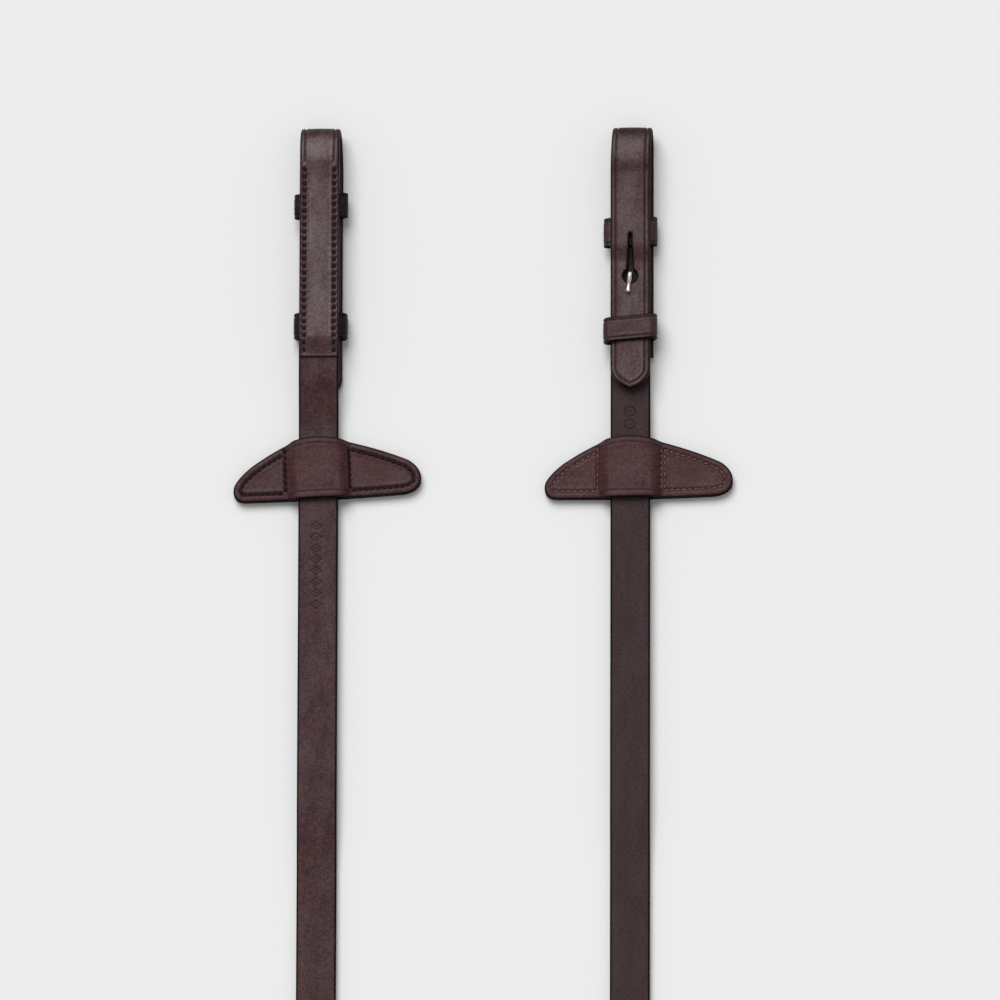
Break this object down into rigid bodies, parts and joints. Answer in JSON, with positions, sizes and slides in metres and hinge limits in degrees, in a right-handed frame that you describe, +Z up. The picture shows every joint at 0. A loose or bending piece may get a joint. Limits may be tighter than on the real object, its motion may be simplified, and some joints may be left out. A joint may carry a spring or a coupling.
{
  "type": "pair of leather bridle reins",
  "caption": "Flat brown leather reins with hook-stud bit ends, sliding rein stops and an undone centre buckle; the far ends lie coiled on edge.",
  "frame": {"origin": "centre of the bottom face of the reins' own box, without the coiled far ends, on the surface they lie on", "axes": "+Y towards the bit ends, along the straight straps; +Z up from the surface; +X to the right, from the rein lying grain side up to the one lying flesh side up"},
  "size_m": [0.2191, 0.666, 0.0225],
  "materials": {
    "leather_grain": "smooth finished bridle leather, satin, dark havana brown, near-black inked edges",
    "leather_strap": "grain side satin, flesh side duller and greyer, inked edges",
    "leather_keeper": "satin, creased, inked edges",
    "leather_stop": "satin with stitched borders and thick inked edges",
    "nickel": "polished nickel plate",
    "tie_band": "dark woven tape"
  },
  "bodies": {
    "reins": {"left_billet_outer": "leather_grain", "left_rein_strap": "leather_strap", "left_hook_stud": "nickel", "left_upper_keeper": "leather_keeper", "left_lower_keeper": "leather_keeper", "left_rein_tail": "leather_strap", "right_billet_outer": "leather_grain", "right_rein_strap": "leather_strap", "right_hook_stud": "nickel", "right_upper_keeper": "leather_keeper", "right_lower_keeper": "leather_keeper", "right_rein_tail": "leather_strap", "rein_coil": "leather_strap", "coil_tie": "tie_band", "left_coil_end": "leather_strap", "right_end_point": "leather_grain", "left_end_chape": "leather_grain", "left_end_keeper": "leather_keeper"},
    "left_tab": {"left_billet_tab": "leather_grain"},
    "right_tab": {"right_billet_tab": "leather_grain"},
    "left_stop": {"left_stop_back": "leather_stop", "left_stop_front": "leather_stop"},
    "right_stop": {"right_stop_back": "leather_stop", "right_stop_front": "leather_stop"},
    "buckle_frame_body": {"buckle_frame": "nickel"},
    "buckle_tongue_body": {"buckle_tongue": "nickel"}
  },
  "joints": [
    {"name": "left_tab_slide", "type": "slide", "parent": "reins", "child": "left_tab", "axis": [0, -1, 0], "range_m": [0, 0.0062]},
    {"name": "right_tab_slide", "type": "slide", "parent": "reins", "child": "right_tab", "axis": [0, -1, 0], "range_m": [0, 0.0062]},
    {"name": "left_stop_slide", "type": "slide", "parent": "reins", "child": "left_stop", "axis": [0, -1, 0], "range_m": [-0.006, 0.12]},
    {"name": "right_stop_slide", "type": "slide", "parent": "reins", "child": "right_stop", "axis": [0, -1, 0], "range_m": [-0.006, 0.12]},
    {"name": "buckle_frame_swing", "type": "hinge", "parent": "reins", "child": "buckle_frame_body", "pos_m": [-0.04942, -0.36759, 0.0116], "axis": [0, 0, 1], "range_deg": [-30, 30]},
    {"name": "buckle_tongue_swing", "type": "hinge", "parent": "buckle_frame_body", "child": "buckle_tongue_body", "pos_m": [-0.04942, -0.36759, 0.0116], "axis": [0, 0, -1], "range_deg": [0, 100]}
  ]
}
